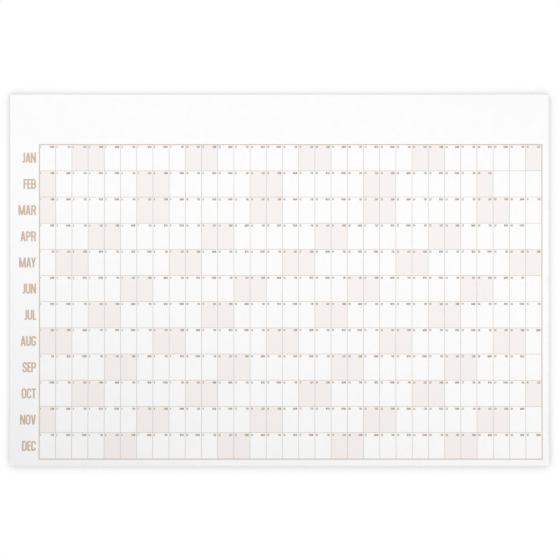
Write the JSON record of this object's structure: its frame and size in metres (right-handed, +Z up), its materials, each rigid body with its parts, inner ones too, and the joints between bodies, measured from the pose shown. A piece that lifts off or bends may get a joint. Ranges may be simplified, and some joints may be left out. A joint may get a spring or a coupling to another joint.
{
  "type": "wall calendar",
  "caption": "Large printed year planner for the wall: a flat landscape paper sheet with a row of days for each month, tinted weekends and a bare header.",
  "frame": {"origin": "middle of the sheet's blank back, on the wall", "axes": "+X along the sheet's width to the reader's right, +Y into the wall, +Z up the sheet towards its header"},
  "size_m": [0.74, 0.0003, 0.51],
  "materials": {
    "paper": "smooth uncoated white paper",
    "tan_ink": "matt offset ink on paper",
    "rule_ink": "matt offset ink on paper",
    "beige_tint": "matt offset tint on paper"
  },
  "bodies": {
    "root": {"calendar_sheet": "paper", "grid_frame": "tan_ink", "day_rules": "rule_ink", "weekend_tints": "beige_tint"}
  },
  "joints": []
}
